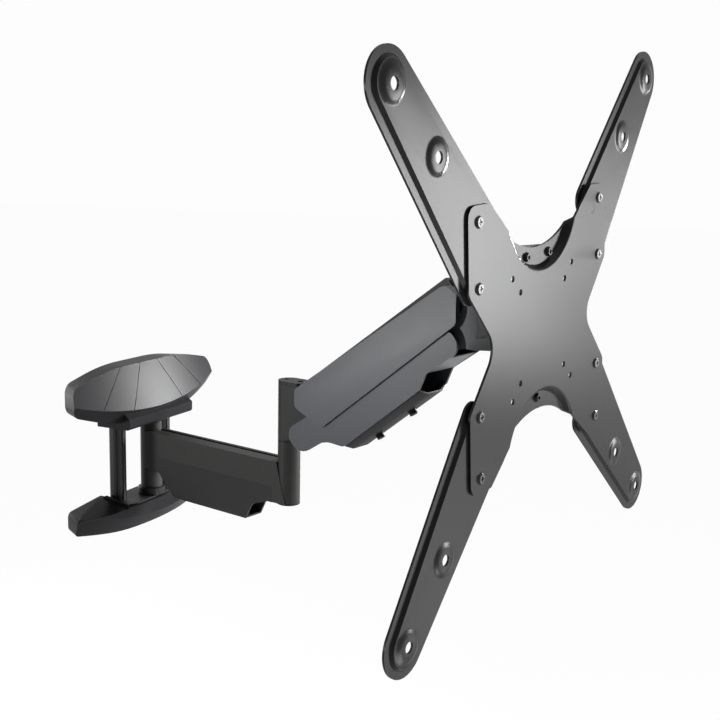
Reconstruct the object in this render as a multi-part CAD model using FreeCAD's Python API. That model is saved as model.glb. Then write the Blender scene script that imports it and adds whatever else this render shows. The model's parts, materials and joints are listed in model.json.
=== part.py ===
import math
import os

import FreeCAD
import Part

# Full-motion wall mount. Millimetres, wall plane at y = 0, mount reaching toward -Y,
# +X to the viewer's right, +Z up.

# Pivot layout
tube_off = 28.0        # wall to the wall shaft
arm_len = 208.0        # wall shaft to the elbow shaft
pivot_off = 36.0       # elbow shaft to the link pivots
link_run = 161.0       # link pivots, level distance at rest
link_rise = 105.0      # link pivots, height gained at rest
pivot_gap = 32.0       # upper pivot to lower pivot
head_off = 52.0        # link pivots to the swivel pin
face_off = 30.0        # swivel pin to the front face of the screen plate
z_pivot = 82.0         # height of the upper link pivot at the knuckle
z_tilt = 177.5         # height of the tilt axis
z_plate = 174.0        # height of the screen plate's centre
swing_rest = 12.0      # swing of the lower arm toward -X at rest, degrees
roll_rest = 5.1        # roll of the screen plate at rest, degrees
level_half = 6.0       # levelling either way from upright, degrees

# Clearances
run_fit = 0.05         # radial running fit of pins and shafts
loose = 0.5            # radial play of the opened four-bar pivot
seat_play = 2.2        # radial play of the opened spring pivot
air = 0.3              # gap between faces that pass each other
ease = 0.2             # radial ease of screw holes

# Wall bracket
steel = 3.0
shelf_t = 4.0
shelf_reach = 12.0     # shelf edge beyond the wall shaft
z_top_shelf = 25.0     # underside of the top shelf
z_low_shelf = -63.0    # upper side of the bottom shelf
bolt_dx = 76.0
z_top_bolt = 55.0
z_low_bolt = -73.0
bolt_slot_r = 4.25
bolt_slot_len = 10.0
column_dx = 40.8
column_off = 13.2
column_r = 9.0
column_screw_r = 2.5
shaft_r = 6.0
tube_r = 12.0
tube_bore = 8.0
z_tube_low = -55.0
z_tube_top = 20.0
cover_half = 125.0     # half width of the covers at their widest
cover_taper = 16.0     # narrower by this at the wall
taper_y = -26.0        # where the ends reach their full width
shelf_half = 55.0
flange_in = 25.0       # flange ends in from the ends of the covers
cover_t = 2.6
cover_bulge = 900.0
keel_bulge = 366.0
cover_round = 12.0
top_face = ((-26.0, 89.0), (-42.0, 40.0))
low_face = ((-44.0, -58.0), (-46.0, -79.0), (-36.0, -93.0))
groove_ends = ((8.5, 47.2), (36.8, 99.8))
groove_deep = 0.8

# Lower arm
arm_half = 12.0
z_arm_top = 11.0
z_arm_low = -32.0
z_arm_step = -16.0
z_cable_low = -57.0
cable_wall = 2.0
seat_rear = 24.0       # cable cover from the wall shaft and from the elbow shaft
seat_front = 12.0
elbow_r = 11.5
z_elbow_low = -30.0
z_elbow_top = 33.0

# Upper arm
cheek_half = 12.0
slot_half = 5.5
channel_in = 12.5
channel_out = 15.0
bar_out = 15.5
low_cover_out = 23.0
low_cover_t = 2.5
tray_ends = ((41.0, -32.0), (146.0, -23.4))
tray_floor = 11.0
tray_deep = 5.0
top_cover_in = 23.4
top_cover_out = 26.0
cover_pocket = 19.5
crease = ((0.0, 14.0), (20.8, -8.9), (184.0, -6.0))
pin_r = 4.0
eye_r = 10.0
seat_drop = 16.0       # spring seat below the upper pivot
gas_back = 27.2        # gas pin back from the head pivot along the link
gas_pin_r = 3.0
gas_r = 9.0
gas_rod_r = 4.0
z_knuckle = 91.0       # top of the knuckle under its cap

# Head
carrier_half = 24.0
z_head_low = 153.5
z_head_top = 199.0
lug_t = 10.0
lug_r = 10.0
scallop_r = 22.5
block_half = 11.0
ear_t = 3.0
tilt_r = 3.0

# Screen plate
sheet = 2.2
lobe_x = 114.3
lobe_z = 112.4
lobe_low = 47.0
waist_x = 74.5
waist_r = 20.0
notch_x = 54.0
notch_z = 87.0
notch_r = 91.0
notch_c = 160.0
dish_r = 58.0
dish_c = 109.0
dish_depth = 6.0
dish_draft = 3.0
grid_x = 100.0
grid_z = (100.0, 50.0)
screen_small = (37.5, 50.0)
screen_large = (150.0, 200.0)
arm_sheet = 2.0
arm_tip_r = 25.0
arm_root_r = 13.0
arm_drop = 2.6
arm_brim = 5.8
arm_slope = 2.6
boss_r = 15.0
boss_top_r = 9.5
boss_h = 1.8
screw_inset = 5.2      # cap screws in from the foot of the dish
screw_turn = 21.4      # upper cap screws either way from upright, degrees

y_tube = -tube_off
y_elbow = y_tube - arm_len
y_a = y_elbow - pivot_off
y_c = y_a - link_run
y_swivel = y_c - head_off
y_face = y_swivel - face_off
keel_half = shelf_half + cover_t + 0.4
screw_ring = dish_r - dish_draft - screw_inset
top_screw_x = screw_ring * math.sin(math.radians(screw_turn))
top_screw_z = dish_c - screw_ring * math.cos(math.radians(screw_turn))
low_screw_z = screw_ring - dish_c
z_b = z_pivot - pivot_gap
z_c = z_pivot + link_rise
z_d = z_c - pivot_gap
link_len = math.hypot(link_run, link_rise)
gas_reach = link_len - gas_back
link_cos = link_run / link_len
link_sin = link_rise / link_len


def vec(x, y, z):
    return FreeCAD.Vector(x, y, z)


def box(x0, x1, y0, y1, z0, z1):
    return Part.makeBox(x1 - x0, y1 - y0, z1 - z0, vec(x0, y0, z0))


def rod_x(r, x0, x1, y, z):
    return Part.makeCylinder(r, x1 - x0, vec(x0, y, z), vec(1, 0, 0))


def rod_y(r, y0, y1, x, z):
    return Part.makeCylinder(r, y1 - y0, vec(x, y0, z), vec(0, 1, 0))


def rod_z(r, z0, z1, x, y):
    return Part.makeCylinder(r, z1 - z0, vec(x, y, z0), vec(0, 0, 1))


def ring_z(r_out, r_in, z0, z1, x, y):
    return rod_z(r_out, z0, z1, x, y).cut(rod_z(r_in, z0 - 1, z1 + 1, x, y))


def mirrored(shape):
    return shape.mirror(vec(0, 0, 0), vec(1, 0, 0))


def both(shape):
    return shape.fuse(mirrored(shape))


def outline(corners, place):
    """Closed wire through (a, b, radius) corners, each rounded by its own radius."""
    spans = []
    for i in range(len(corners)):
        a, b, r = corners[i]
        before = corners[i - 1]
        after = corners[(i + 1) % len(corners)]
        ua = math.hypot(before[0] - a, before[1] - b)
        va = math.hypot(after[0] - a, after[1] - b)
        u = ((before[0] - a) / ua, (before[1] - b) / ua)
        v = ((after[0] - a) / va, (after[1] - b) / va)
        half = math.acos(max(-1.0, min(1.0, u[0] * v[0] + u[1] * v[1]))) / 2
        if r == 0 or half > math.pi / 2 - 0.001:
            spans.append(((a, b), (a, b), (a, b)))
            continue
        run = r / math.tan(half)
        m = math.hypot(u[0] + v[0], u[1] + v[1])
        reach = r / math.sin(half) - r
        mid = (a + (u[0] + v[0]) / m * reach, b + (u[1] + v[1]) / m * reach)
        spans.append(((a + u[0] * run, b + u[1] * run), mid, (a + v[0] * run, b + v[1] * run)))
    edges = []
    for i in range(len(spans)):
        end = spans[i - 1][2]
        first, mid, last = spans[i]
        if math.hypot(first[0] - end[0], first[1] - end[1]) > 0.001:
            edges.append(Part.LineSegment(place(*end), place(*first)).toShape())
        if math.hypot(first[0] - last[0], first[1] - last[1]) > 0.001:
            edges.append(Part.Arc(place(*first), place(*mid), place(*last)).toShape())
    return Part.Wire(edges)


def slab_x(corners, x0, x1):
    wire = outline(corners, lambda a, b: vec(x0, a, b))
    return Part.Face(wire).extrude(vec(x1 - x0, 0, 0))


def slab_y(corners, y0, y1):
    wire = outline(corners, lambda a, b: vec(a, y0, b))
    return Part.Face(wire).extrude(vec(0, y1 - y0, 0))


def slab_z(corners, z0, z1):
    wire = outline(corners, lambda a, b: vec(a, b, z0))
    return Part.Face(wire).extrude(vec(0, 0, z1 - z0))


def hexagon(across, x, z):
    r = across / math.sqrt(3)
    turns = [math.radians(60 * i) for i in range(6)]
    return [(x + r * math.cos(a), z + r * math.sin(a), 0) for a in turns]


def on_link(corners, z_base):
    """Corners given along and across a link, turned to the (y, z) plane at rest."""
    turned = []
    for u, v, r in corners:
        ahead = u * link_cos - v * link_sin
        up = u * link_sin + v * link_cos
        turned.append((y_a - ahead, z_base + up, r))
    return turned


def link_point(u, v, z_base):
    y, z, r = on_link([(u, v, 0)], z_base)[0]
    return y, z


def save(name, shape, swing=swing_rest):
    """Write one node, swung to its rest place, with the origin in the middle of the wall bolts."""
    shape.rotate(vec(0, y_tube, 0), vec(0, 0, 1), -swing)
    shape.translate(vec(0, 0, -(z_top_bolt + z_low_bolt) / 2))
    shape.exportStep("parts/" + name + ".step")


def wall_slots(flange, z):
    for side in (-1, 1):
        x = side * bolt_dx
        run = bolt_slot_len / 2
        r = bolt_slot_r
        slot = [(x - run - r, z - r, r), (x + run + r, z - r, r)]
        slot += [(x + run + r, z + r, r), (x - run - r, z + r, r)]
        flange = flange.cut(slab_y(slot, -steel - 1, 1))
    return flange


def shelf(z0):
    front = y_tube - shelf_reach
    half = [(shelf_half, 0, 0), (shelf_half, front + 8, 8), (shelf_half - 13, front, 10)]
    plan = half + [(-x, y, r) for x, y, r in reversed(half)]
    plate = slab_z(plan, z0, z0 + shelf_t)
    plate = plate.cut(rod_z(shaft_r, z0 - 1, z0 + shelf_t + 1, 0, y_tube))
    for side in (-1, 1):
        hole = rod_z(column_screw_r + ease, z0 - 1, z0 + shelf_t + 1, side * column_dx, -column_off)
        plate = plate.cut(hole)
    return plate


def top_bracket():
    z0 = z_top_shelf
    wide = cover_half - flange_in
    half = [(shelf_half, z0, 0), (shelf_half, z_top_bolt - 13, 6), (wide, z_top_bolt - 5, 6)]
    half += [(wide, z_top_bolt + 11, 6), (50, z_top_bolt + 20, 8)]
    face = half + [(-x, z, r) for x, z, r in reversed(half)]
    flange = wall_slots(slab_y(face, -steel, 0), z_top_bolt)
    return flange.fuse(shelf(z0)).removeSplitter()


def bottom_bracket():
    z1 = z_low_shelf
    wide = cover_half - flange_in
    half = [(shelf_half, z1, 0), (shelf_half, z_low_bolt + 8.5, 2), (wide, z_low_bolt + 7.5, 5)]
    half += [(wide, z_low_bolt - 5.5, 4), (40, z_low_bolt - 11.5, 0)]
    face = half + [(-x, z, r) for x, z, r in reversed(half)]
    flange = wall_slots(slab_y(face, -steel, 0), z_low_bolt)
    return flange.fuse(shelf(z1 - shelf_t)).removeSplitter()


def column(side):
    x = side * column_dx
    y = -column_off
    post = rod_z(column_r, z_low_shelf, z_top_shelf, x, y)
    for turn in (-150, -110, -70, -30):
        fx = x + column_r * math.cos(math.radians(turn))
        fy = y + column_r * math.sin(math.radians(turn))
        post = post.cut(rod_z(1.3, z_low_shelf - 1, z_top_shelf + 1, fx, fy))
    post = post.cut(rod_z(column_screw_r, z_low_shelf - 1, z_low_shelf + 16, x, y))
    return post.cut(rod_z(column_screw_r, z_top_shelf - 16, z_top_shelf + 1, x, y))


def column_screws():
    screws = []
    for side in (-1, 1):
        x = side * column_dx
        top = z_top_shelf + shelf_t
        low = z_low_shelf - shelf_t
        upper = rod_z(column_screw_r, z_top_shelf - 14, top, x, -column_off)
        screws.append(upper.fuse(rod_z(4.5, top, top + 3, x, -column_off)))
        lower = rod_z(column_screw_r, low, z_low_shelf + 14, x, -column_off)
        screws.append(lower.fuse(rod_z(4.5, low - 3, low, x, -column_off)))
    return Part.makeCompound(screws)


def pivot_shaft():
    low = z_low_shelf - shelf_t
    top = z_top_shelf + shelf_t
    return rod_z(shaft_r, low, top + 8, 0, y_tube).fuse(rod_z(10, low - 5, low, 0, y_tube))


def shaft_nut():
    top = z_top_shelf + shelf_t
    nut = slab_z(hexagon(18, 0, y_tube), top, top + 7)
    return nut.cut(rod_z(shaft_r, top - 1, top + 8, 0, y_tube))


def tube_washers():
    low = ring_z(15, shaft_r, z_low_shelf, z_tube_low - ease, 0, y_tube)
    top = ring_z(11, shaft_r, z_tube_top + ease, z_top_shelf, 0, y_tube)
    return Part.makeCompound([low, top])


def arch(x0, z0, zm, x1, z1, y):
    return Part.Arc(vec(x0, y, z0), vec((x0 + x1) / 2, y, zm), vec(x1, y, z1)).toShape()


def leaning_front(upper, lower, bulge, inset):
    """Large cylinder leaning in the (y, z) plane, its front passing through an upper and a lower point."""
    run = math.hypot(lower[0] - upper[0], lower[1] - upper[1])
    along = vec(0, (lower[0] - upper[0]) / run, (lower[1] - upper[1]) / run)
    outward = vec(0, along.z, -along.y)
    base = vec(0, upper[0], upper[1]) - outward * bulge - along * bulge
    return Part.makeCylinder(bulge - inset, run + 2 * bulge, base, along)


def tapered_form(half, t):
    """Body out from the wall with one outline all along, its ends leaning out up to the full width."""
    wires = []
    for narrower, y in ((cover_taper, 0), (0, taper_y)):
        side = [(x - narrower * x / cover_half - t * x / cover_half, z, r) for x, z, r in half]
        ring = side + [(-x, z, r) for x, z, r in reversed(side)]
        wires.append(outline(ring, lambda a, b: vec(a, y, b)))
    return Part.makeLoft(wires, True, True).fuse(Part.Face(wires[1]).extrude(vec(0, -40, 0)))


def top_cover_form(t):
    half = [(60, 89 - t, 260), (cover_half, 76 - t, cover_round - t),
            (cover_half, 46 + t, cover_round - t), (60, 27 + t, 220)]
    lens = tapered_form(half, t)
    lens = lens.common(leaning_front(top_face[0], top_face[1], cover_bulge, t))
    lens = lens.common(leaning_front(top_face[1], (-31, 22), keel_bulge, t))
    skirt = keel_half - t
    front = y_tube - 16 + t
    low = z_top_shelf - 3 + t
    keel = [(0, low, 0), (front, low, 4 - t), (front, 34, 0), (-26, 48, 0), (0, 48, 0)]
    return lens.fuse(slab_x(keel, -skirt, skirt))


def top_cover():
    shell = top_cover_form(0).cut(top_cover_form(cover_t))
    shell = shell.cut(rod_z(tube_r + 2, z_top_shelf - 10, z_top_shelf + 5, 0, y_tube))
    for side in (-1, 1):
        hole = rod_z(column_r + air, z_top_shelf - 10, z_top_shelf + 5, side * column_dx, -column_off)
        shell = shell.cut(hole)
    skin = leaning_front(top_face[0], top_face[1], cover_bulge, groove_deep)
    for x_top, x_low in groove_ends:
        for side in (-1, 1):
            line = [(side * x_top - 0.5, 100, 0), (side * x_top + 0.5, 100, 0)]
            line += [(side * x_low + 0.5, 38, 0), (side * x_low - 0.5, 38, 0)]
            shell = shell.cut(slab_y(line, -80, 0).cut(skin))
    return shell


def bottom_cover_form(t):
    half = [(60, -56.5 - t, 260), (cover_half, -62 - t, cover_round / 2 - t),
            (cover_half, -82 + t, cover_round / 2 - t), (60, -92 + t, 260)]
    form = tapered_form(half, t)
    slope = [(0, -56 - t, 0), (-70, -70 - t, 0), (-70, -40, 0), (0, -40, 0)]
    form = form.cut(slab_x(slope, -2 * cover_half, 2 * cover_half))
    form = form.common(leaning_front(low_face[0], low_face[1], cover_bulge, t))
    return form.common(leaning_front(low_face[1], low_face[2], keel_bulge, t))


def bottom_cover():
    shell = bottom_cover_form(0).cut(bottom_cover_form(cover_t))
    inside = keel_half - cover_t
    shell = shell.cut(box(-inside, inside, 2 * taper_y, 1, z_low_shelf - 0.5, z_low_shelf + 20))
    under = z_low_shelf - shelf_t - air
    shell = shell.cut(box(-inside, inside, y_tube - shelf_reach - air, 1, under, z_low_shelf + 20))
    front = low_face[0][0] + 4
    wall = [(-6, z_low_shelf - 6, 0), (front, z_low_shelf - 6, 0), (front, z_low_shelf + 2, 0)]
    wall += [(-6, z_low_shelf + 8, 3)]
    return shell.fuse(both(slab_x(wall, inside, keel_half))).removeSplitter()


def lower_arm():
    profile = [(y_tube, z_arm_top, 0), (y_elbow + 7, z_arm_top, 0)]
    profile += [(y_elbow - 5, z_arm_low, 0), (y_tube, z_arm_low, 0)]
    body = slab_x(profile, -arm_half, arm_half)
    inner = arm_half - cable_wall
    seat = box(inner, arm_half + 1, y_elbow + seat_front, y_tube - seat_rear, z_arm_low - 1, z_arm_step)
    body = body.cut(both(seat))
    body = body.cut(box(3, 7.5, y_elbow, y_tube, z_arm_top - 3, z_arm_top + 1))
    body = body.cut(rod_z(tube_r, -100, 100, 0, y_tube))
    body = body.cut(rod_z(elbow_r, -100, 100, 0, y_elbow))
    body = body.fuse(rod_z(tube_r, z_tube_low, z_tube_top, 0, y_tube))
    body = body.fuse(rod_z(elbow_r, z_elbow_low, z_elbow_top, 0, y_elbow))
    body = body.cut(rod_z(tube_bore, -100, 100, 0, y_tube))
    body = body.cut(rod_z(tube_bore, z_elbow_low + 10, 100, 0, y_elbow))
    body = body.cut(rod_z(tube_bore + 1.5, -100, z_elbow_low + 10, 0, y_elbow))
    return body.removeSplitter()


def bushes(y, z_low, z_top, length):
    low = ring_z(tube_bore, shaft_r + run_fit, z_low, z_low + length, 0, y)
    top = ring_z(tube_bore, shaft_r + run_fit, z_top - length, z_top, 0, y)
    return Part.makeCompound([low, top])


def cable_cover():
    y0 = y_tube - seat_rear - ease
    y1 = y_elbow + seat_front + ease
    low = z_arm_low - air
    side = [(y0, z_arm_step - ease, 0), (y0, z_arm_low, 2), (y0 - 26, z_cable_low, 6),
            (y1 + 37, z_cable_low, 0),
            (y1 + 28, low - 7, 12), (y1 + 6, low, 0), (y1, low, 0), (y1, z_arm_step - ease, 0)]
    hull = slab_x(side, -arm_half, arm_half)
    inner = arm_half - cable_wall
    floor = z_cable_low + cable_wall
    return hull.cut(box(-inner, inner, y1 - 10, y0 + 10, floor, 0))


def elbow_cap():
    return rod_z(elbow_r, z_elbow_low - 3, z_elbow_low, 0, y_elbow)


def elbow_retainer():
    z1 = z_elbow_low + 10 - ease
    return rod_z(9, z1 - 2, z1, 0, y_elbow).fuse(rod_z(5, z1 - 6, z1 - 2, 0, y_elbow))


def elbow_shaft():
    return rod_z(shaft_r, z_elbow_low + 10 - ease, z_elbow_top + 40, 0, y_elbow)


def friction_ring():
    return ring_z(elbow_r, shaft_r, z_elbow_top + ease, z_elbow_top + 1.2, 0, y_elbow)


def knuckle():
    z0 = z_elbow_top + 1.2
    z1 = z_knuckle
    post = rod_z(elbow_r, z0, z1, 0, y_elbow)
    side = [(y_elbow, z_b - 14, 0), (y_a - eye_r, z_b - eye_r, eye_r), (y_a - eye_r, z_pivot + eye_r, eye_r),
            (y_elbow - 22, z1, 0), (y_elbow, z1, 0)]
    block = slab_x(side, -cheek_half, cheek_half)
    block = block.cut(box(-slot_half, slot_half, y_a - 20, y_elbow - 19, 0, 120))
    body = post.fuse(block)
    body = body.cut(rod_z(shaft_r, z0 - 1, z_elbow_top + 40, 0, y_elbow))
    body = body.cut(rod_z(3, z1 - 22, z1 + 1, 0, y_elbow - 14))
    body = body.cut(rod_x(pin_r, -20, 20, y_a, z_pivot))
    body = body.cut(rod_x(pin_r, -20, 20, y_a, z_b))
    body = body.cut(rod_x(gas_pin_r, -20, 20, y_a, z_pivot - seat_drop))
    return body.removeSplitter()


def knuckle_cap():
    z1 = z_knuckle
    plan = [(-elbow_r, y_elbow + elbow_r, elbow_r), (elbow_r, y_elbow + elbow_r, elbow_r),
            (elbow_r, y_elbow - 21, 3),
            (-elbow_r, y_elbow - 21, 3)]
    cap = slab_z(plan, z1, z1 + 4)
    cap = cap.cut(rod_z(2.5, z1 - 1, z1 + 5, 0, y_elbow + 4))
    return cap.cut(rod_z(3.2, z1 - 1, z1 + 5, 0, y_elbow - 14))


def hex_screw(r, z0, z1, x, y, across):
    return rod_z(r, z0, z1, x, y).cut(slab_z(hexagon(across, x, y), z1 - 2, z1 + 1))


def cap_screw():
    z1 = z_knuckle
    return hex_screw(2.5, z1, z1 + 3.6, 0, y_elbow + 4, 2.5)


def tension_screw():
    z1 = z_knuckle
    return hex_screw(3, z1 - 22, z1 + 3, 0, y_elbow - 14, 3)


def pivot_pin(half, y, z):
    return rod_x(pin_r, -half, half, y, z)


def upper_channel():
    end = link_len + eye_r
    side = [(-eye_r, -eye_r, eye_r), (end, -eye_r, eye_r), (end, eye_r, eye_r),
            (link_len + 8, 24.1, 2), (6, 15.6, 2),
            (-eye_r, eye_r, eye_r)]
    wall = slab_x(on_link(side, z_pivot), channel_in, channel_out)
    wall = both(wall)
    web = [(6, 13.1, 0), (link_len + 8, 21.6, 0), (link_len + 8, 24.1, 0), (6, 15.6, 0)]
    body = wall.fuse(slab_x(on_link(web, z_pivot), -channel_out, channel_out))
    body = body.cut(rod_x(pin_r + run_fit, -20, 20, y_a, z_pivot))
    body = body.cut(rod_x(pin_r + run_fit, -20, 20, y_c, z_c))
    gy, gz = link_point(gas_reach, 0, z_pivot)
    return body.cut(rod_x(gas_pin_r, -20, 20, gy, gz)).removeSplitter()


def gas_pin():
    gy, gz = link_point(gas_reach, 0, z_pivot)
    return rod_x(gas_pin_r, -channel_out, channel_out, gy, gz)


def along_link(u, v, x, z_base):
    y, z = link_point(u, v, z_base)
    return vec(x, y, z)


def lean_cut(start, end, drop, reach):
    """Wedge off the outer face of a cover: a plane hinged on a crease line and leaning in over a reach."""
    run = math.hypot(end[0] - start[0], end[1] - start[1])
    du = (end[0] - start[0]) / run
    dv = (end[1] - start[1]) / run
    far = 3.0
    x0 = top_cover_out
    section = [(0, x0), (reach * far, x0 - drop * far), (reach * far, x0 + 5), (0, x0 + 5)]
    base = (start[0] - du * 60, start[1] - dv * 60)
    corners = [along_link(base[0] - dv * a, base[1] + du * a, x, z_pivot) for a, x in section]
    face = Part.Face(Part.makePolygon(corners + [corners[0]]))
    tip = along_link(base[0] + du * (run + 120), base[1] + dv * (run + 120), 0, z_pivot)
    return face.extrude(tip - along_link(base[0], base[1], 0, z_pivot))


def upper_cover():
    end = link_len + 16.5
    side = [(-2, 13.5, 6), (-10, -1.5, 5), (10.5, -33.2, 4),
            (link_len - 4, -18.6, 0), (link_len + 3.5, -17.8, 5),
            (end, 4, 4), (link_len + 9.5, 17.6, 7)]
    hull = slab_x(on_link(side, z_pivot), channel_out + ease, top_cover_out)
    t = top_cover_out - top_cover_in
    deep = [(-12, -60, 0), (link_len + 30, -60, 0), (link_len + 14, -11, 0), (-3, -11, 0)]
    hull = hull.cut(slab_x(on_link(deep, z_pivot), channel_out - 1, top_cover_in))
    pocket = [(1, 11, 2), (-6.5, -2, 2), (-3, -12, 0),
              (link_len + 14, -12, 0), (end - t, 3.6, 2), (link_len + 8, 15, 4)]
    hull = hull.cut(slab_x(on_link(pocket, z_pivot), channel_out - 1, cover_pocket))
    for u, v in ((30, 4), (110, 5), (180, 6)):
        y, z = link_point(u, v, z_pivot)
        hull = hull.fuse(rod_x(4, channel_out, cover_pocket, y, z))
    hull = hull.cut(lean_cut(crease[1], crease[2], 1.8, 24))
    hull = hull.cut(lean_cut(crease[1], crease[0], -3.2, -20))
    return hull.removeSplitter()


def lower_bars():
    end = link_len + 8
    side = [(-8, -8, 8), (end, -8, 8), (end, 8, 8), (-8, 8, 8)]
    body = both(slab_x(on_link(side, z_b), channel_in, bar_out))
    web = [(42, -8, 0), (150, -8, 0), (150, -5.5, 0), (42, -5.5, 0)]
    body = body.fuse(slab_x(on_link(web, z_b), -bar_out, bar_out))
    body = body.cut(rod_x(pin_r + run_fit, -20, 20, y_a, z_b))
    return body.cut(rod_x(pin_r + loose, -20, 20, y_c, z_d)).removeSplitter()


def lower_cover():
    side = [(-17.5, -17.5, 17), (17.5, -18, 9), (26.4, -21.3, 6), (40.5, -32.2, 6),
            (146.8, -23.2, 3), (161, -13.6, 3),
            (link_len + 12, -12.4, 11), (link_len + 12, 11, 11), (-17.5, 11, 11)]
    plate = slab_x(on_link(side, z_b), low_cover_out - low_cover_t, low_cover_out)
    for u in (0, link_len):
        y, z = link_point(u, 0, z_b)
        plate = plate.fuse(rod_x(7, bar_out, low_cover_out - low_cover_t, y, z))
    return plate.removeSplitter()


def tray_prism(section, u0, u1):
    """Prism along the tray's own slope from a cross-section of (x, depth) corners."""
    base = tray_line(u0)
    run = math.hypot(*[q - p for p, q in zip(tray_line(u0), tray_line(u1))])
    du = (tray_line(u1)[0] - base[0]) / run
    dv = (tray_line(u1)[1] - base[1]) / run
    corners = [along_link(base[0] + dv * depth, base[1] - du * depth, x, z_b) for x, depth in section]
    face = Part.Face(Part.makePolygon(corners + [corners[0]]))
    tip = along_link(base[0] + du * run, base[1] + dv * run, 0, z_b)
    return face.extrude(tip - along_link(base[0], base[1], 0, z_b))


def tray_line(u):
    """Foot of the lower covers, which the tray hangs from."""
    (u0, v0), (u1, v1) = tray_ends
    return u, v0 + (u - u0) * (v1 - v0) / (u1 - u0)


def cable_tray():
    wide = low_cover_out - low_cover_t
    floor = tray_floor
    outer = [(-wide, -4), (wide, -4), (wide, 0.5), (floor, tray_deep), (-floor, tray_deep), (-wide, 0.5)]
    t = 2.0
    inner = [(t - wide, -5), (wide - t, -5), (wide - t, 0), (floor - 1, tray_deep - t),
             (1 - floor, tray_deep - t), (t - wide, 0)]
    return tray_prism(outer, tray_ends[0][0], tray_ends[1][0]).cut(tray_prism(inner, 30, 160))


def tray_knobs():
    knobs = []
    for u in (66, 112):
        u0, v0 = tray_line(u)
        (ua, va), (ub, vb) = tray_ends
        run = math.hypot(ub - ua, vb - va)
        du = (ub - ua) / run
        dv = (vb - va) / run
        start = along_link(u0 + dv * tray_deep, v0 - du * tray_deep, 3, z_b)
        down = along_link(dv, -du, 0, z_b) - along_link(0, 0, 0, z_b)
        knobs.append(Part.makeCylinder(4, 4.5, start, down))
    return Part.makeCompound(knobs)


def gas_axis():
    gy, gz = link_point(gas_reach, 0, z_pivot)
    sy = y_a
    sz = z_pivot - seat_drop
    run = math.hypot(sy - gy, sz - gz)
    return vec(0, gy, gz), vec(0, (sy - gy) / run, (sz - gz) / run), run


def gas_cylinder():
    start, along, run = gas_axis()
    body = Part.makeCylinder(gas_r, 101, start + along * 11, along)
    body = body.fuse(Part.makeCylinder(gas_r - 1.5, 5, start + along * 112, along))
    body = body.fuse(rod_x(7, -6, 6, start.y, start.z))
    body = body.fuse(Part.makeCylinder(5, 8, start + along * 5, along))
    body = body.cut(rod_x(gas_pin_r + run_fit, -10, 10, start.y, start.z))
    return body.cut(Part.makeCylinder(gas_rod_r + run_fit, 80, start + along * 40, along))


def gas_rod():
    start, along, run = gas_axis()
    eye = start + along * run
    body = Part.makeCylinder(gas_rod_r, run - 60, start + along * 60, along)
    body = body.fuse(rod_x(seat_play + gas_pin_r + 2.5, -5, 5, eye.y, eye.z))
    return body.cut(rod_x(gas_pin_r + seat_play, -10, 10, eye.y, eye.z))


def head_carrier():
    back = y_c - 14
    body = box(-carrier_half, carrier_half, y_swivel + 20, back, z_head_low, z_head_top)
    for y, z in ((y_c, z_c), (y_c, z_d)):
        scoop = rod_x(scallop_r, cheek_half, carrier_half + 1, y, z)
        body = body.cut(both(scoop))
    lugs = [(y_c + eye_r, z_d - eye_r, eye_r), (y_c + eye_r, z_c + eye_r, eye_r), (y_c - 20, z_head_top, 0),
            (y_c - 20, z_head_low, 0)]
    body = body.fuse(slab_x(lugs, -cheek_half, cheek_half))
    root = y_swivel + 20
    flank = math.acos(lug_r / math.hypot(carrier_half, 20)) - math.atan2(20, carrier_half)
    nose = lug_r * math.tan((math.pi / 2 - flank) / 2)
    half = [(nose, y_swivel - lug_r, lug_r - 0.01), (carrier_half, root, 0), (carrier_half, root + 1, 0)]
    plan = [(-x, y, r) for x, y, r in reversed(half)] + half
    for z0 in (z_head_low, z_head_top - lug_t):
        body = body.fuse(slab_z(plan, z0, z0 + lug_t))
    body = body.cut(rod_z(pin_r, 0, 400, 0, y_swivel))
    body = body.cut(rod_x(pin_r, -20, 20, y_c, z_c))
    return body.cut(rod_x(pin_r, -20, 20, y_c, z_d)).removeSplitter()


def swivel_pin():
    pin = rod_z(pin_r, z_head_low - 1, z_head_top + 1, 0, y_swivel)
    pin = pin.fuse(rod_z(6, z_head_low - 5, z_head_low, 0, y_swivel))
    return pin.fuse(rod_z(6, z_head_top, z_head_top + 4, 0, y_swivel))


def swivel_block():
    z0 = z_head_low + lug_t + air
    z1 = z_head_top - lug_t - air
    plan = [(-block_half, y_swivel - 10, 4), (block_half, y_swivel - 10, 4), (block_half, y_swivel + 10, 4),
            (-block_half, y_swivel + 10, 4)]
    body = slab_z(plan, z0, z1)
    body = body.cut(rod_z(pin_r + run_fit, 0, 400, 0, y_swivel))
    return body.cut(both(rod_x(tilt_r, 5, 20, y_swivel, z_tilt)))


def tilt_bolts():
    x0 = block_half + air + ear_t + air
    bolt = rod_x(tilt_r, 5.5, x0, y_swivel, z_tilt).fuse(rod_x(5.5, x0, x0 + 3.5, y_swivel, z_tilt))
    return Part.makeCompound([bolt, mirrored(bolt)])


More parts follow.
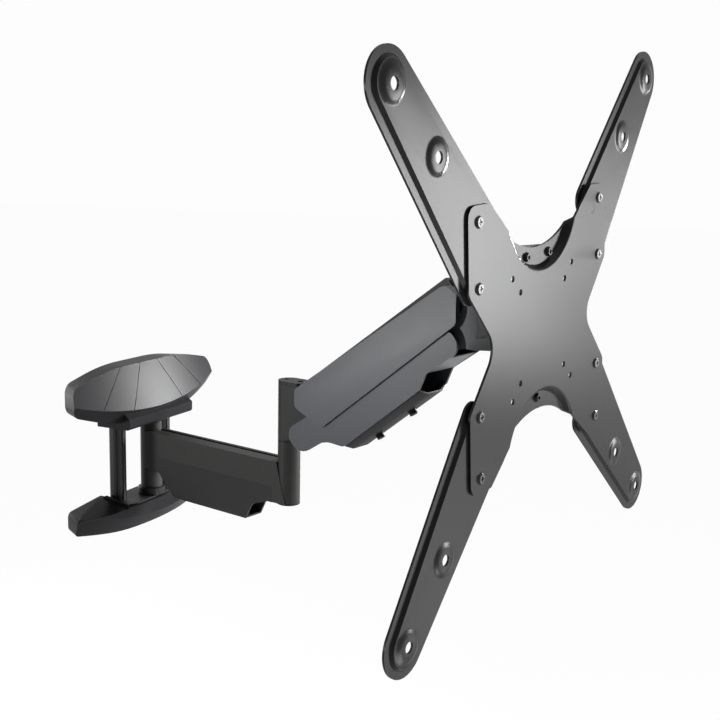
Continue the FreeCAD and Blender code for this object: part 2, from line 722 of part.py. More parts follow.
def arc_slot(radius, centre, half, wide, y0, y1):
    """Slot following a circle about the plate's centre, angles in degrees from +X toward +Z."""
    edges = []
    a0 = math.radians(centre - half)
    am = math.radians(centre)
    a1 = math.radians(centre + half)
    ends = []
    for r in (radius + wide, radius - wide):
        ends.append([vec(r * math.cos(a), y0, z_plate + r * math.sin(a)) for a in (a0, am, a1)])
    x0 = radius * math.cos(a0) + wide * math.sin(a0)
    x1 = radius * math.cos(a1) - wide * math.sin(a1)
    turn0 = vec(x0, y0, z_plate + radius * math.sin(a0) - wide * math.cos(a0))
    turn1 = vec(x1, y0, z_plate + radius * math.sin(a1) + wide * math.cos(a1))
    edges.append(Part.Arc(*ends[0]).toShape())
    edges.append(Part.Arc(ends[0][2], turn1, ends[1][2]).toShape())
    edges.append(Part.Arc(ends[1][2], ends[1][1], ends[1][0]).toShape())
    edges.append(Part.Arc(ends[1][0], turn0, ends[0][0]).toShape())
    return Part.Face(Part.Wire(edges)).extrude(vec(0, y1 - y0, 0))


def tilt_bracket():
    y0 = y_face + dish_depth + sheet + 2 * ease
    y1 = y0 + steel
    face = [(-36, z_plate + 70, 8), (-24, z_plate - 70, 10), (24, z_plate - 70, 10), (36, z_plate + 70, 8)]
    body = slab_y(face, y0, y1)
    ear = [(y_swivel + 9, z_tilt - 9, 9), (y_swivel + 9, z_tilt + 9, 9), (y0, z_tilt + 10.5, 0),
           (y0, z_tilt - 10.5, 0)]
    x0 = block_half + air
    body = body.fuse(both(slab_x(ear, x0, x0 + ear_t)))
    body = body.cut(rod_x(tilt_r + run_fit, -30, 30, y_swivel, z_tilt))
    body = body.cut(rod_y(8 + 2 * run_fit, y0 - 1, y1 + 1, 0, z_plate))
    radius = math.hypot(top_screw_x, top_screw_z)
    spread = math.degrees(math.atan2(top_screw_x, top_screw_z))
    half = level_half + 1
    for centre in (90 - spread, 90 + spread):
        body = body.cut(arc_slot(radius, centre, half, 2.5 + air, y0 - 1, y1 + 1))
    body = body.cut(arc_slot(-low_screw_z, 270, half, 2.5 + air, y0 - 1, y1 + 1))
    return body.removeSplitter()


def rolled(shape):
    shape.rotate(vec(0, 0, z_plate), vec(0, -1, 0), roll_rest)
    return shape


def plate_form(y0, y1):
    z = z_plate
    half = [(notch_x, z + notch_z, 0), (84, z + lobe_z, 4), (lobe_x, z + lobe_z, 10),
            (lobe_x, z + lobe_low, 8),
            (waist_x, z, waist_r), (lobe_x, z - lobe_low, 8), (lobe_x, z - lobe_z, 10), (84, z - lobe_z, 4),
            (notch_x, z - notch_z, 0)]
    face = half + [(-x, b, r) for x, b, r in reversed(half)]
    form = slab_y(face, y0, y1)
    for side in (-1, 1):
        form = form.cut(rod_y(notch_r, y0 - 1, y1 + 1, 0, z + side * notch_c))
    return form


def rounded_dish(body):
    """Press radii on the rim and on the floor of both dishes."""
    for r, y, press in ((dish_r, y_face, 2.5), (dish_r - dish_draft, y_face + dish_depth, 1.2)):
        rims = []
        for edge in body.Edges:
            on_level = abs(edge.BoundBox.YMin - y) < 0.01 and abs(edge.BoundBox.YMax - y) < 0.01
            if on_level and isinstance(edge.Curve, Part.Circle) and abs(edge.Curve.Radius - r) < 0.01:
                rims.append(edge)
        body = body.makeFillet(press, rims)
    return body


def screen_plate():
    body = plate_form(y_face, y_face + sheet)
    deep = plate_form(y_face, y_face + dish_depth + sheet)
    for side in (-1, 1):
        centre = vec(0, y_face, z_plate + side * dish_c)
        grow = dish_draft / dish_depth
        back_r = dish_r + sheet - grow * sheet
        shell = Part.makeCone(dish_r + sheet, back_r - dish_draft, dish_depth + sheet, centre, vec(0, 1, 0))
        body = body.fuse(deep.common(shell))
        body = body.cut(Part.makeCone(dish_r, dish_r - dish_draft, dish_depth, centre, vec(0, 1, 0)))
    body = rounded_dish(body.removeSplitter())
    for x in (-grid_x, grid_x):
        for z in grid_z:
            for side in (-1, 1):
                body = body.cut(rod_y(3 + ease, y_face - 1, y_face + 20, x, z_plate + side * z))
    for d in screen_small:
        for sx in (-d, d):
            for sz in (-d, d):
                body = body.cut(rod_y(2.7, y_face - 1, y_face + 20, sx, z_plate + sz))
    for x, z in plate_screw_places():
        body = body.cut(rod_y(2.5 + ease, y_face - 1, y_face + 20, x, z_plate + z))
    return rolled(body.removeSplitter())


def plate_screw_places():
    return [(-top_screw_x, top_screw_z), (top_screw_x, top_screw_z), (0, low_screw_z)]


def hull_wire(circles, y):
    """Closed wire round three circles (x, z, radius), given counter-clockwise."""
    edges = []
    tangents = []
    for i in range(3):
        x0, z0, r0 = circles[i]
        x1, z1, r1 = circles[(i + 1) % 3]
        run = math.hypot(x1 - x0, z1 - z0)
        turn = math.atan2(z1 - z0, x1 - x0) - math.pi / 2 + math.asin((r0 - r1) / run)
        tangents.append(turn)
    for i in range(3):
        x0, z0, r0 = circles[i]
        x1, z1, r1 = circles[(i + 1) % 3]
        before = tangents[i - 1]
        after = tangents[i]
        while after < before:
            after += 2 * math.pi
        arc = []
        for turn in (before, (before + after) / 2, after):
            arc.append(vec(x0 + r0 * math.cos(turn), y, z0 + r0 * math.sin(turn)))
        edges.append(Part.Arc(*arc).toShape())
        end = vec(x1 + r1 * math.cos(after), y, z1 + r1 * math.sin(after))
        edges.append(Part.LineSegment(arc[2], end).toShape())
    return Part.Wire(edges)


def arm_wire(inset, y):
    """Outline of the upper right arm, drawn about the plate's centre at height zero."""
    circles = []
    for along, cross, r in ((screen_large[1] * math.sqrt(2), 0, arm_tip_r), (128, 13, arm_root_r),
                            (109, -38, arm_root_r)):
        x = (along - cross) / math.sqrt(2)
        z = (along + cross) / math.sqrt(2)
        circles.append((x, z + z_plate, r - inset))
    return hull_wire(circles, y)


def pressed_loft(inset0, y0, inset1, y1):
    return Part.makeLoft([arm_wire(inset0, y0), arm_wire(inset1, y1)], True, True)


def screen_arm():
    y0 = y_face + sheet
    y1 = y0 + arm_drop
    edge = arm_brim + arm_slope
    body = pressed_loft(edge, y0, arm_brim, y1)
    body = body.fuse(Part.Face(arm_wire(0, y1)).extrude(vec(0, arm_sheet, 0)))
    skin = arm_sheet * 0.9
    body = body.cut(pressed_loft(edge + skin, y0 + arm_sheet, arm_brim + skin - 0.9, y1 + arm_sheet))
    for d in screen_large:
        centre = vec(d, y0, z_plate + d)
        body = body.fuse(Part.makeCone(boss_r, boss_top_r, boss_h, centre, vec(0, -1, 0)))
        under = vec(d, y0 + arm_sheet, z_plate + d)
        body = body.cut(Part.makeCone(boss_r - 1, boss_top_r - 1, boss_h, under, vec(0, -1, 0)))
        body = body.cut(rod_y(4.6, y0 - 10, y0 + 10, d, z_plate + d))
    for z in grid_z:
        body = body.cut(rod_y(3 + ease, y0 - 1, y0 + 20, grid_x, z_plate + z))
        body = body.cut(rod_y(6.1, y0 + arm_sheet, y0 + 20, grid_x, z_plate + z))
    return body.removeSplitter()


def flipped(shape):
    return shape.mirror(vec(0, 0, z_plate), vec(0, 0, 1))


def arm_screws():
    screws = []
    for sx in (-grid_x, grid_x):
        for z in grid_z:
            for sz in (-z, z):
                shank = rod_y(3, y_face, y_face + sheet + arm_sheet + 6, sx, z_plate + sz)
                head = Part.makeCone(5, 3.8, 1.8, vec(sx, y_face, z_plate + sz), vec(0, -1, 0))
                screw = shank.fuse(head)
                for wide, tall in ((0.6, 2.4), (2.4, 0.6)):
                    mid = z_plate + sz
                    mark = box(sx - wide, sx + wide, y_face - 3, y_face - 0.8, mid - tall, mid + tall)
                    screw = screw.cut(mark)
                screws.append(screw)
    return rolled(Part.makeCompound(screws))


def nuts(places, across, r, y0, y1):
    pieces = []
    for x, z in places:
        nut = slab_y(hexagon(across, x, z_plate + z), y0, y1)
        pieces.append(nut.cut(rod_y(r, y0 - 1, y1 + 1, x, z_plate + z)))
    return rolled(Part.makeCompound(pieces))


def arm_nuts():
    places = []
    for sx in (-grid_x, grid_x):
        for z in grid_z:
            places.append((sx, z))
            places.append((sx, -z))
    y0 = y_face + sheet + arm_sheet
    return nuts(places, 10, 3, y0, y0 + 5)


def plate_screws():
    screws = []
    seat = y_face + dish_depth
    for x, z in plate_screw_places():
        head = Part.makeCone(4.25, 3.0, 2.8, vec(x, seat, z_plate + z), vec(0, -1, 0))
        screw = rod_y(2.5, seat, seat + 13, x, z_plate + z).fuse(head)
        screws.append(screw.cut(slab_y(hexagon(3.6, x, z_plate + z), seat - 5, seat - 1)))
    return rolled(Part.makeCompound(screws))


def plate_nuts():
    y0 = y_face + dish_depth + sheet + 3 * ease + steel
    return nuts(plate_screw_places(), 8, 2.5, y0, y0 + 5)


def level_bush():
    back = y_face + dish_depth + sheet + ease
    body = rod_y(14, y_face + sheet, back, 0, z_plate)
    body = body.fuse(rod_y(8, back, back + steel + 2 * ease, 0, z_plate))
    return body.fuse(rod_y(10.5, back + steel + 2 * ease, back + steel + 2 * ease + 2, 0, z_plate))


os.makedirs("parts", exist_ok=True)

save("top_bracket", top_bracket(), 0)
save("bottom_bracket", bottom_bracket(), 0)
save("column_left", column(-1), 0)
save("column_right", column(1), 0)
save("column_screws", column_screws(), 0)
save("pivot_shaft", pivot_shaft(), 0)
save("shaft_nut", shaft_nut(), 0)
save("tube_washers", tube_washers(), 0)
save("top_cover", top_cover(), 0)
save("bottom_cover", bottom_cover(), 0)

save("lower_arm", lower_arm())
save("wall_bushes", bushes(y_tube, z_tube_low, z_tube_top, 15))
save("elbow_bushes", bushes(y_elbow, z_elbow_low + 10, z_elbow_top, 12))
save("cable_cover", cable_cover())
save("elbow_cap", elbow_cap())

save("knuckle", knuckle())
save("knuckle_cap", knuckle_cap())
save("cap_screw", cap_screw())
save("tension_screw", tension_screw())
save("elbow_shaft", elbow_shaft())
save("elbow_retainer", elbow_retainer())
save("friction_ring", friction_ring())
save("upper_pin", pivot_pin(channel_out, y_a, z_pivot))
save("lower_pin", pivot_pin(bar_out - 0.1, y_a, z_b))
save("spring_pin", rod_x(gas_pin_r, -cheek_half, cheek_half, y_a, z_pivot - seat_drop))

save("upper_channel", upper_channel())
save("gas_pin", gas_pin())
save("upper_cover_right", upper_cover())
save("upper_cover_left", mirrored(upper_cover()))

save("lower_bars", lower_bars())
save("lower_cover_right", lower_cover())
save("lower_cover_left", mirrored(lower_cover()))
save("cable_tray", cable_tray())
save("tray_knobs", tray_knobs())

save("gas_cylinder", gas_cylinder())
save("gas_rod", gas_rod())

save("head_carrier", head_carrier())
save("head_upper_pin", pivot_pin(channel_out, y_c, z_c))
save("head_lower_pin", pivot_pin(bar_out - 0.1, y_c, z_d))
save("swivel_pin", swivel_pin())
save("swivel_block", swivel_block())
save("tilt_bolts", tilt_bolts())
save("tilt_bracket", tilt_bracket())

save("screen_plate", screen_plate())
save("arm_upper_right", rolled(screen_arm()))
save("arm_upper_left", rolled(mirrored(screen_arm())))
save("arm_lower_right", rolled(flipped(screen_arm())))
save("arm_lower_left", rolled(flipped(mirrored(screen_arm()))))
save("arm_screws", arm_screws())
save("arm_nuts", arm_nuts())
save("plate_screws", plate_screws())
save("plate_nuts", plate_nuts())
save("level_bush", level_bush())
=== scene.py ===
import json
import math

import bmesh
import bpy
from mathutils import Matrix, Vector


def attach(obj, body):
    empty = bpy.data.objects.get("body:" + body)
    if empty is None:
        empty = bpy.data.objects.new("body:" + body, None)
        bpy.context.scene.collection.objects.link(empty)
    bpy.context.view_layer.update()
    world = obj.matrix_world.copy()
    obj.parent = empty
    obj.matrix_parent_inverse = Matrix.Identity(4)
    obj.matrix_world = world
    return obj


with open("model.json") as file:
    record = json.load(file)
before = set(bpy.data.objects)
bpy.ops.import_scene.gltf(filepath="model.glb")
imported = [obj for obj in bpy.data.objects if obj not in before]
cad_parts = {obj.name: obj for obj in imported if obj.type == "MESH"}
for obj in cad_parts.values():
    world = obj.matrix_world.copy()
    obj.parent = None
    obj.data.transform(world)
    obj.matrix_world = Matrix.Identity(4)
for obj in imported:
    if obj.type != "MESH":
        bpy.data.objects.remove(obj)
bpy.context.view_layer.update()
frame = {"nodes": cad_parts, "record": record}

# Lengths are in metres and light powers in watts. The arm is at rest swung to one side at the wall
# shaft; what is placed by arm_swing is written as if the arm stood square to the wall.

wall_shaft_y = -0.028
rest_swing = math.radians(-12)

wall_shaft = Matrix.Translation((0, wall_shaft_y, 0))
arm_swing = wall_shaft @ Matrix.Rotation(rest_swing, 4, "Z") @ wall_shaft.inverted()

# Shared surface effects

coat_grain = 900.0
coat_speckle = 2600.0
coat_drift = 22.0
tool_texture = 1500.0
mould_flow = 14.0
handling_marks = 60.0
# The edge mask set up below lightens the edges, partly as rubbed wear and partly as painted edge
# highlights.
edge_wear_and_highlight_patches = 120.0
edge_wear_and_highlight_radius = 0.0006
edge_wear_and_highlight_samples = 6
edge_wear_and_highlight_starts_at = 0.965
edge_wear_and_highlight_full_at = 0.85


def group_with(name, inputs, outputs):
    """Shader node group with named float sockets."""
    group = bpy.data.node_groups.new(name, "ShaderNodeTree")
    for label, value in inputs:
        socket = group.interface.new_socket(label, in_out="INPUT", socket_type="NodeSocketFloat")
        socket.default_value = value
    for label in outputs:
        group.interface.new_socket(label, in_out="OUTPUT", socket_type="NodeSocketFloat")
    return group, group.nodes.new("NodeGroupInput"), group.nodes.new("NodeGroupOutput")


def set_or_link(tree, socket, value):
    if isinstance(value, (int, float)):
        socket.default_value = value
    else:
        tree.links.new(value, socket)


def noise_node(tree, coords, scale, detail, rough=0.5):
    node = tree.nodes.new("ShaderNodeTexNoise")
    node.inputs["Detail"].default_value = detail
    node.inputs["Roughness"].default_value = rough
    tree.links.new(coords, node.inputs["Vector"])
    set_or_link(tree, node.inputs["Scale"], scale)
    return node.outputs["Fac"]


def ranged(tree, value, low, high, new_low=0.0, new_high=1.0):
    node = tree.nodes.new("ShaderNodeMapRange")
    tree.links.new(value, node.inputs["Value"])
    set_or_link(tree, node.inputs["From Min"], low)
    set_or_link(tree, node.inputs["From Max"], high)
    set_or_link(tree, node.inputs["To Min"], new_low)
    set_or_link(tree, node.inputs["To Max"], new_high)
    return node.outputs["Result"]


def powder_coat_group():
    """Orange-peel height, a fine speckle and a broad roughness drift, as on baked powder coat."""
    group, start, end = group_with(
        "powder_coat_peel", [("Grain Scale", coat_grain)], ["Height", "Speckle", "Drift"]
    )
    coords = group.nodes.new("ShaderNodeTexCoord").outputs["Object"]
    height = noise_node(group, coords, start.outputs["Grain Scale"], 2.0)
    speckle = noise_node(group, coords, coat_speckle, 1.0)
    drift = noise_node(group, coords, coat_drift, 3.0, 0.6)
    group.links.new(height, end.inputs["Height"])
    group.links.new(ranged(group, speckle, 0.35, 0.7), end.inputs["Speckle"])
    group.links.new(ranged(group, drift, 0.1, 0.9), end.inputs["Drift"])
    return group


def moulded_group():
    """Spark-eroded tool texture, faint flow lines and handling marks, as on moulded covers."""
    group, start, end = group_with(
        "moulded_texture", [("Texture Scale", tool_texture)], ["Height", "Flow", "Rub"]
    )
    coords = group.nodes.new("ShaderNodeTexCoord").outputs["Object"]
    cells = group.nodes.new("ShaderNodeTexVoronoi")
    group.links.new(coords, cells.inputs["Vector"])
    group.links.new(start.outputs["Texture Scale"], cells.inputs["Scale"])
    flow = noise_node(group, coords, mould_flow, 4.0, 0.55)
    rub = noise_node(group, coords, handling_marks, 3.0, 0.6)
    group.links.new(cells.outputs["Distance"], end.inputs["Height"])
    group.links.new(ranged(group, flow, 0.1, 0.9), end.inputs["Flow"])
    group.links.new(ranged(group, rub, 0.1, 0.9), end.inputs["Rub"])
    return group


def edge_rub_group():
    """Mask along the edges, where a rounded normal leaves the face's own, broken up by noise. It
    lightens the edges, partly as wear and partly as painted edge highlights.
    """
    group, start, end = group_with("edge_rub", [("Radius", edge_wear_and_highlight_radius), ("Amount", 0.5)], ["Rub"])
    rounded = group.nodes.new("ShaderNodeBevel")
    rounded.samples = edge_wear_and_highlight_samples
    group.links.new(start.outputs["Radius"], rounded.inputs["Radius"])
    face = group.nodes.new("ShaderNodeNewGeometry")
    turn = group.nodes.new("ShaderNodeVectorMath")
    turn.operation = "DOT_PRODUCT"
    group.links.new(rounded.outputs["Normal"], turn.inputs[0])
    group.links.new(face.outputs["Normal"], turn.inputs[1])
    coords = group.nodes.new("ShaderNodeTexCoord").outputs["Object"]
    noise = noise_node(group, coords, edge_wear_and_highlight_patches, 3.0, 0.6)
    patches = ranged(group, noise, 0.35, 0.65, 0.3, 1.0)
    amount = start.outputs["Amount"]
    edge = ranged(group, turn.outputs["Value"], edge_wear_and_highlight_starts_at, edge_wear_and_highlight_full_at, 0.0, amount)
    # The mask paints a lighter edge, partly wear and partly a painted highlight.
    rub = group.nodes.new("ShaderNodeMath")
    rub.operation = "MULTIPLY"
    group.links.new(edge, rub.inputs[0])
    group.links.new(patches, rub.inputs[1])
    group.links.new(rub.outputs["Value"], end.inputs["Rub"])
    return group


powder_coat = powder_coat_group()
moulded = moulded_group()
edge_rub = edge_rub_group()

# Finishes, one for each material slot

# Lighter edge tints, partly rubbed wear and partly painted edge highlight lines.
coat_edge_wear_and_highlight = (0.09, 0.09, 0.09)
coat_edge_wear_and_highlight_amount = 0.4
coat_bump = 0.35
moulding_edge_wear_and_highlight = (0.11, 0.11, 0.115)
moulding_edge_wear_and_highlight_amount = 0.5
moulding_bump = 0.3
steel_grain = 2200.0
steel_bump = 0.2
steel_depth = 0.00001
surface_depth = 0.00003
soft_specular = 0.08


def begin_material(name):
    material = bpy.data.materials.new(name)
    material.use_nodes = True
    tree = material.node_tree
    shader = tree.nodes["Principled BSDF"]
    return material, tree, shader


def effect_outputs(tree, group, label, value):
    """Outputs of a shared effect, with one of its inputs set."""
    node = tree.nodes.new("ShaderNodeGroup")
    node.node_tree = group
    node.inputs[label].default_value = value
    return node.outputs


def blend_colours(tree, mask, dark, light):
    node = tree.nodes.new("ShaderNodeMix")
    node.data_type = "RGBA"
    tree.links.new(mask, node.inputs["Factor"])
    node.inputs["A"].default_value = (*dark, 1)
    node.inputs["B"].default_value = (*light, 1)
    return node.outputs["Result"]


def worn_and_highlit_edge_colour(tree, shader, colour, tint, amount):
    """Base colour that turns to a lighter tint along the edges, partly wear and partly a painted
    edge highlight.
    """
    effect = effect_outputs(tree, edge_rub, "Amount", amount)
    node = tree.nodes.new("ShaderNodeMix")
    node.data_type = "RGBA"
    tree.links.new(effect["Rub"], node.inputs["Factor"])
    tree.links.new(colour, node.inputs["A"])
    node.inputs["B"].default_value = (*tint, 1)
    tree.links.new(node.outputs["Result"], shader.inputs["Base Color"])


def rough_between(tree, shader, mask, rough):
    low, high = rough
    tree.links.new(ranged(tree, mask, 0.0, 1.0, low, high), shader.inputs["Roughness"])


def bumped(tree, shader, height, strength, distance):
    node = tree.nodes.new("ShaderNodeBump")
    node.inputs["Strength"].default_value = strength
    node.inputs["Distance"].default_value = distance
    tree.links.new(height, node.inputs["Height"])
    tree.links.new(node.outputs["Normal"], shader.inputs["Normal"])


def coated_metal(
    name, dark, light, rough, grain=coat_grain, depth=surface_depth, specular=soft_specular
):
    material, tree, shader = begin_material(name)
    effect = effect_outputs(tree, powder_coat, "Grain Scale", grain)
    colour = blend_colours(tree, effect["Speckle"], dark, light)
    # Edges lightened, partly as wear and partly as a painted highlight.
    worn_and_highlit_edge_colour(tree, shader, colour, coat_edge_wear_and_highlight, coat_edge_wear_and_highlight_amount)
    rough_between(tree, shader, effect["Drift"], rough)
    shader.inputs["Specular IOR Level"].default_value = specular
    bumped(tree, shader, effect["Height"], coat_bump, depth)
    return material


def moulded_plastic(name, dark, light, rough, depth=surface_depth, specular=soft_specular):
    material, tree, shader = begin_material(name)
    effect = effect_outputs(tree, moulded, "Texture Scale", tool_texture)
    colour = blend_colours(tree, effect["Flow"], dark, light)
    # Edges lightened, partly as wear and partly as a painted highlight.
    worn_and_highlit_edge_colour(tree, shader, colour, moulding_edge_wear_and_highlight, moulding_edge_wear_and_highlight_amount)
    rough_between(tree, shader, effect["Rub"], rough)
    shader.inputs["Specular IOR Level"].default_value = specular
    bumped(tree, shader, effect["Height"], moulding_bump, depth)
    return material


def turned_steel(name, dark, light, rough):
    material, tree, shader = begin_material(name)
    effect = effect_outputs(tree, powder_coat, "Grain Scale", steel_grain)
    colour = blend_colours(tree, effect["Speckle"], dark, light)
    tree.links.new(colour, shader.inputs["Base Color"])
    rough_between(tree, shader, effect["Drift"], rough)
    shader.inputs["Metallic"].default_value = 1.0
    bumped(tree, shader, effect["Height"], steel_bump, steel_depth)
    return material


def screen_side_coat(name):
    """Smooth, even coat of the pressings that face the screen."""
    return coated_metal(
        name,
        (0.013, 0.013, 0.0135),
        (0.016, 0.016, 0.0165),
        (0.272, 0.28),
        grain=1000,
        depth=0.000006,
        specular=0.06,
    )


finishes = {
    "bracket_steel": coated_metal(
        "bracket_coat", (0.012, 0.012, 0.013), (0.02, 0.02, 0.021), (0.4, 0.5)
    ),
    "column_metal": coated_metal(
        "column_coat", (0.016, 0.016, 0.017), (0.026, 0.026, 0.027), (0.34, 0.44)
    ),
    "screw_steel": coated_metal(
        "screw_blacking",
        (0.008, 0.008, 0.008),
        (0.02, 0.02, 0.02),
        (0.25, 0.4),
        grain=1800,
        depth=0.00001,
    ),
    "pin_steel": turned_steel("pin_ground", (0.3, 0.3, 0.3), (0.42, 0.42, 0.42), (0.25, 0.4)),
    "wall_cover_plastic": moulded_plastic(
        "wall_cover_moulding",
        (0.008, 0.008, 0.009),
        (0.013, 0.013, 0.014),
        (0.31, 0.35),
        specular=0.025,
    ),
    "arm_paint": coated_metal(
        "arm_coat", (0.018, 0.0175, 0.017), (0.027, 0.0265, 0.026), (0.45, 0.52)
    ),
    "arm_cover_plastic": moulded_plastic(
        "arm_cover_moulding", (0.013, 0.013, 0.014), (0.019, 0.019, 0.02), (0.42, 0.52)
    ),
    "bush_plastic": moulded_plastic(
        "bush_moulding", (0.01, 0.01, 0.01), (0.016, 0.016, 0.016), (0.5, 0.6), depth=0.00002
    ),
    "link_steel": coated_metal(
        "link_coat", (0.01, 0.01, 0.011), (0.018, 0.018, 0.019), (0.38, 0.48)
    ),
    "link_cover_plastic": moulded_plastic(
        "link_cover_moulding",
        (0.046, 0.049, 0.055),
        (0.056, 0.06, 0.067),
        (0.3, 0.34),
        specular=0.12,
    ),
    "tray_plastic": moulded_plastic(
        "tray_moulding",
        (0.012, 0.012, 0.013),
        (0.018, 0.018, 0.019),
        (0.45, 0.55),
        specular=0.05,
    ),
    "spring_paint": coated_metal(
        "spring_coat", (0.008, 0.008, 0.008), (0.014, 0.014, 0.014), (0.25, 0.35), depth=0.00001
    ),
    "rod_steel": turned_steel("rod_polished", (0.5, 0.5, 0.5), (0.62, 0.62, 0.62), (0.08, 0.18)),
    "head_metal": coated_metal(
        "head_coat", (0.075, 0.076, 0.079), (0.095, 0.096, 0.1), (0.42, 0.5)
    ),
    "block_metal": coated_metal(
        "block_coat", (0.3, 0.3, 0.3), (0.36, 0.36, 0.36), (0.38, 0.48)
    ),
    "plate_paint": screen_side_coat("plate_coat"),
    "screen_arm_paint": screen_side_coat("screen_arm_coat"),
    "bush_metal": coated_metal(
        "bush_coat", (0.01, 0.01, 0.01), (0.016, 0.016, 0.016), (0.35, 0.45), depth=0.00002
    ),
}

# The screws on the front of the plate are plated, where the slot's other screws are blackened
own_finishes = {
    "arm_screws": turned_steel(
        "arm_screw_plating", (0.018, 0.018, 0.018), (0.036, 0.036, 0.036), (0.28, 0.36)
    ),
}

# The solids, with their edges broken and their finish on

weld_reach = 0.00002
edge_segments = 2
edge_angle = math.radians(32)
fine_edge = 0.0003

edge_widths = {
    "top_cover": 0.0022,
    "bottom_cover": 0.002,
    "lower_arm": 0.0008,
    "cable_cover": 0.0008,
    "upper_cover_left": 0.001,
    "upper_cover_right": 0.001,
    "lower_cover_left": 0.0008,
    "lower_cover_right": 0.0008,
}

# The plate's edges are already rounded in the pressing
kept_edges = {"screen_plate"}


def edge_break(piece, width):
    weld = piece.modifiers.new("weld", "WELD")
    weld.merge_threshold = weld_reach
    bevel = piece.modifiers.new("edge_break", "BEVEL")
    bevel.width = width
    bevel.segments = edge_segments
    bevel.limit_method = "ANGLE"
    bevel.angle_limit = edge_angle
    bevel.use_clamp_overlap = True
    normals = piece.modifiers.new("face_normals", "WEIGHTED_NORMAL")
    normals.keep_sharp = False


def dress_solids():
    for entry in frame["record"]["subparts"]:
        name = entry["node"]
        piece = frame["nodes"][name]
        piece.data.materials.clear()
        piece.data.materials.append(own_finishes.get(name, finishes[entry["material_slot"]]))
        if name not in kept_edges:
            edge_break(piece, edge_widths.get(name, fine_edge))


dress_solids()

# Floor of the lower covers, from the tray to the head, which closes the link from below

link_rise = 0.105
link_run = 0.161
link_angle = math.atan2(link_rise, link_run)
lower_pivot = Vector((0, -0.272, 0.059))
floor_half_width = 0.0204

# Section of the floor: along the link from its lower pivot, and square to it
floor_underside = [
    (0.1612, -0.0128),
    (0.1616, -0.0134),
    (0.1640, -0.0134),
    (0.1895, -0.0125),
    (0.1902, -0.0119),
]
floor_inside = [(0.1895, -0.0107), (0.1650, -0.0116), (0.1636, -0.0106), (0.1618, -0.0106)]


def on_lower_link(u, v, x):
    """Place on the lower link at rest, from the distances along it, square to it and across it."""
    along = Vector((0, -math.cos(link_angle), math.sin(link_angle)))
    square = Vector((0, math.sin(link_angle), math.cos(link_angle)))
    return arm_swing @ (lower_pivot + along * u + square * v + Vector((x, 0, 0)))


def lower_cover_floor():
    """Thin panel with a thicker lip at the tray's end."""
    section = floor_underside + floor_inside
    mesh = bmesh.new()
    left, right = (
        [mesh.verts.new(on_lower_link(u, v, x)) for u, v in section]
        for x in (-floor_half_width, floor_half_width)
    )
    count = len(section)
    for i in range(count):
        j = (i + 1) % count
        mesh.faces.new((left[i], left[j], right[j], right[i]))
    mesh.faces.new(left)
    mesh.faces.new(right)
    bmesh.ops.recalc_face_normals(mesh, faces=mesh.faces)
    data = bpy.data.meshes.new("lower_cover_floor")
    mesh.to_mesh(data)
    mesh.free()
    panel = bpy.data.objects.new("lower_cover_floor", data)
    bpy.context.scene.collection.objects.link(panel)
    data.materials.append(finishes["link_cover_plastic"])
    edge_break(panel, fine_edge)
    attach(panel, "lower_link")


lower_cover_floor()

# Floor, background, lights and camera

floor_size = 60
floor_place = (0, -0.3, -0.9)
floor_grey = (0.82, 0.82, 0.82, 1)
floor_roughness = 0.9
floor_glow_share = 0.96
world_fill = 0.25
world_shown = 0.98
white = (1, 1, 1, 1)

# Name, place, aim, width and height, power
softboxes = [
    ("key_softbox", (1.757, -1.824, 0.15), (0, -0.5, 0.2), (0.5, 0.68), 54),
    ("low_softbox", (1.2, -1.49, -0.58), (-0.1, -0.5, 0.0), (0.45, 0.55), 4),
    ("foot_softbox", (0.16, -1.2, -0.63), (0, -0.03, -0.05), (0.5, 0.4), 10),
    ("cover_softbox", (0.9, -0.46, 0.24), (0, -0.05, 0.1), (0.22, 0.18), 32),
    ("side_softbox", (-1.9, 0.9, 0.0), (0, -0.3, 0.1), (0.55, 0.45), 36),
    ("top_softbox", (0.3, -0.9, 2.2), (0, -0.3, 0.1), (1.2, 1.2), 4),
    ("back_softbox", (0.5, 2.1, 0.1), (0, -0.2, 0.1), (1.2, 1.0), 26),
]

camera_place = (-0.7871, -0.9296, 0.3037)
camera_right = Vector((0.61248, -0.79021, 0.02063))
camera_up = Vector((0.12036, 0.11902, 0.98557))
camera_back = Vector((-0.78127, -0.60116, 0.16801))
camera_sensor_mm = 36
camera_lens_mm = 53.29


def seen_rays(tree):
    """One for rays that show the background: from the camera, in reflections and through glass."""
    path = tree.nodes.new("ShaderNodeLightPath")
    total = path.outputs["Is Camera Ray"]
    for label in ("Is Glossy Ray", "Is Transmission Ray"):
        join = tree.nodes.new("ShaderNodeMath")
        join.operation = "MAXIMUM"
        tree.links.new(total, join.inputs[0])
        tree.links.new(path.outputs[label], join.inputs[1])
        total = join.outputs["Value"]
    return total


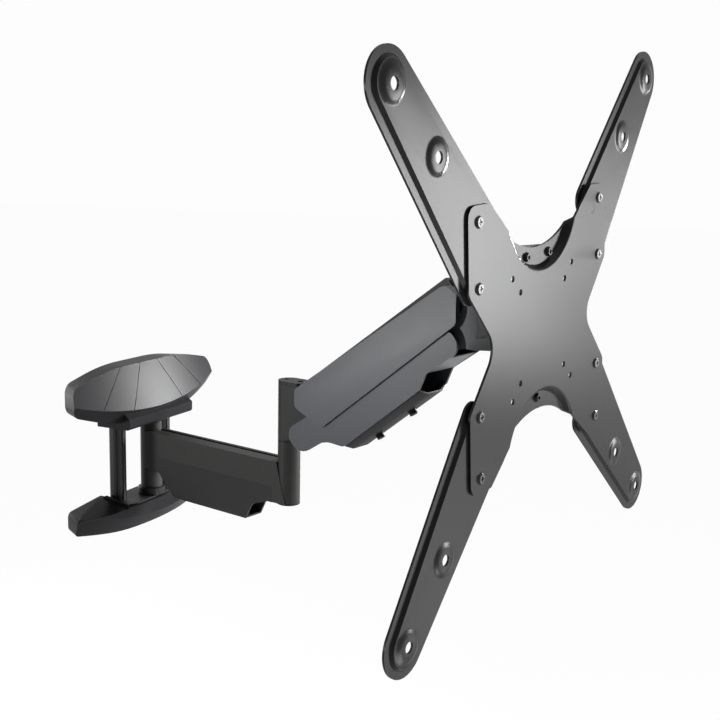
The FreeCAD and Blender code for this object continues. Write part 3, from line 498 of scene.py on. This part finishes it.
def studio_floor():
    """Pale floor that shows almost white and keeps a trace of the shadow."""
    bpy.ops.mesh.primitive_plane_add(size=floor_size, location=floor_place)
    floor = bpy.context.object
    floor.name = "studio_floor"
    material, tree, shader = begin_material("pale_floor")
    shader.inputs["Base Color"].default_value = floor_grey
    shader.inputs["Roughness"].default_value = floor_roughness
    glow = tree.nodes.new("ShaderNodeEmission")
    share = tree.nodes.new("ShaderNodeMath")
    share.operation = "MULTIPLY"
    share.inputs[1].default_value = floor_glow_share
    mix = tree.nodes.new("ShaderNodeMixShader")
    tree.links.new(seen_rays(tree), share.inputs[0])
    tree.links.new(share.outputs["Value"], mix.inputs["Fac"])
    tree.links.new(shader.outputs["BSDF"], mix.inputs[1])
    tree.links.new(glow.outputs["Emission"], mix.inputs[2])
    tree.links.new(mix.outputs["Shader"], tree.nodes["Material Output"].inputs["Surface"])
    floor.data.materials.append(material)


def studio_world():
    """White where it is seen, and a soft fill for everything else."""
    world = bpy.data.worlds.new("studio_world")
    bpy.context.scene.world = world
    world.use_nodes = True
    tree = world.node_tree
    fill = tree.nodes["Background"]
    fill.inputs["Color"].default_value = white
    fill.inputs["Strength"].default_value = world_fill
    shown = tree.nodes.new("ShaderNodeBackground")
    shown.inputs["Color"].default_value = white
    shown.inputs["Strength"].default_value = world_shown
    mix = tree.nodes.new("ShaderNodeMixShader")
    tree.links.new(seen_rays(tree), mix.inputs["Fac"])
    tree.links.new(fill.outputs["Background"], mix.inputs[1])
    tree.links.new(shown.outputs["Background"], mix.inputs[2])
    tree.links.new(mix.outputs["Shader"], tree.nodes["World Output"].inputs["Surface"])


def softbox(name, place, aim, size, power):
    lamp = bpy.data.lights.new(name, "AREA")
    lamp.shape = "RECTANGLE"
    lamp.size, lamp.size_y = size
    lamp.energy = power
    box = bpy.data.objects.new(name, lamp)
    bpy.context.scene.collection.objects.link(box)
    box.visible_camera = False
    start = arm_swing @ Vector(place)
    end = arm_swing @ Vector(aim)
    box.location = start
    box.rotation_euler = (end - start).to_track_quat("-Z", "Y").to_euler()


def photo_camera():
    data = bpy.data.cameras.new("photo_camera")
    data.sensor_width = camera_sensor_mm
    data.lens = camera_lens_mm
    camera = bpy.data.objects.new("photo_camera", data)
    bpy.context.scene.collection.objects.link(camera)
    turn = Matrix((camera_right, camera_up, camera_back)).transposed().to_4x4()
    camera.matrix_world = arm_swing @ Matrix.Translation(camera_place) @ turn
    bpy.context.scene.camera = camera


studio_floor()
studio_world()
for row in softboxes:
    softbox(*row)
photo_camera()

bpy.context.scene.view_settings.view_transform = "Standard"
